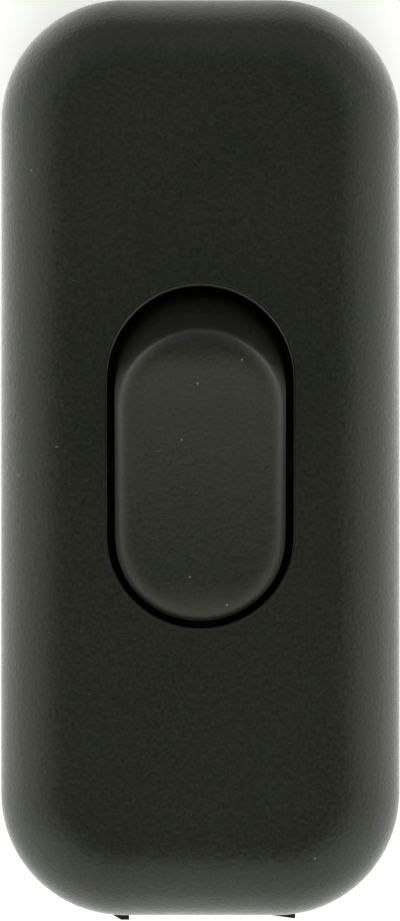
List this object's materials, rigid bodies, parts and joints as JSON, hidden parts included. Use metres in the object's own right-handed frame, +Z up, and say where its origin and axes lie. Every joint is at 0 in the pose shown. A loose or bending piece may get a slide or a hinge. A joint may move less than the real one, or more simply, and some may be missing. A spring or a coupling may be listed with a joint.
{
  "type": "inline cord switch",
  "caption": "Black inline cord switch: long rounded two-part housing with a dished rocker in a round-ended opening and a cord inlet at each end.",
  "frame": {"origin": "middle of the base's underside", "axes": "+Z up out of the rocker's face, +Y along the cord towards the end that is raised at rest, +X to the right"},
  "size_m": [0.03, 0.0694, 0.0252],
  "materials": {
    "housing_plastic": "black moulded plastic with a fine spark-eroded grain",
    "rocker_plastic": "black moulded plastic, a little smoother than the housing",
    "plunger_plastic": "natural white acetal, smooth",
    "spring_steel": "drawn spring wire",
    "contact_brass": "rolled and pressed brass strip",
    "contact_silver": "silver alloy contact rivet, weighed as steel",
    "plated_steel": "zinc-plated steel",
    "clamp_plastic": "grey moulded plastic"
  },
  "bodies": {
    "housing": {"upper_shell": "housing_plastic", "lower_shell": "housing_plastic", "terminal_clamp_plates": "plated_steel", "terminal_screws": "plated_steel", "front_cord_clamp": "clamp_plastic", "rear_cord_clamp": "clamp_plastic", "cord_clamp_screws": "plated_steel", "case_screws": "plated_steel", "left_pivot_terminal": "contact_brass", "left_fixed_contact": "contact_brass", "left_fixed_tip": "contact_silver", "right_pivot_terminal": "contact_brass", "right_fixed_contact": "contact_brass", "right_fixed_tip": "contact_silver"},
    "rocker": {"rocker": "rocker_plastic", "left_plunger_spring": "spring_steel", "right_plunger_spring": "spring_steel"},
    "left_plunger": {"left_plunger": "plunger_plastic"},
    "left_lever": {"left_contact_lever": "contact_brass", "left_lever_tip": "contact_silver"},
    "right_plunger": {"right_plunger": "plunger_plastic"},
    "right_lever": {"right_contact_lever": "contact_brass", "right_lever_tip": "contact_silver"}
  },
  "joints": [
    {"name": "rocker_tilt", "type": "hinge", "parent": "housing", "child": "rocker", "pos_m": [0, 0, 0.0154], "axis": [1, 0, 0], "range_deg": [-24, 0]},
    {"name": "left_lever_tilt", "type": "hinge", "parent": "housing", "child": "left_lever", "pos_m": [-0.0042, 0, 0.0089], "axis": [1, 0, 0], "range_deg": [0, 16]},
    {"name": "left_plunger_slide", "type": "slide", "parent": "rocker", "child": "left_plunger", "axis": [0, -0.2079, 0.9781], "range_m": [0, 0.0006], "stiffness_N_per_m": 300, "deforming": ["left_plunger_spring"]},
    {"name": "right_lever_tilt", "type": "hinge", "parent": "housing", "child": "right_lever", "pos_m": [0.0042, 0, 0.0089], "axis": [1, 0, 0], "range_deg": [0, 16]},
    {"name": "right_plunger_slide", "type": "slide", "parent": "rocker", "child": "right_plunger", "axis": [0, -0.2079, 0.9781], "range_m": [0, 0.0006], "stiffness_N_per_m": 300, "deforming": ["right_plunger_spring"]}
  ],
  "couplings": [
    {"joint": "left_lever_tilt", "follows": "rocker_tilt", "ratio": -0.6666},
    {"joint": "right_lever_tilt", "follows": "rocker_tilt", "ratio": -0.6666}
  ]
}
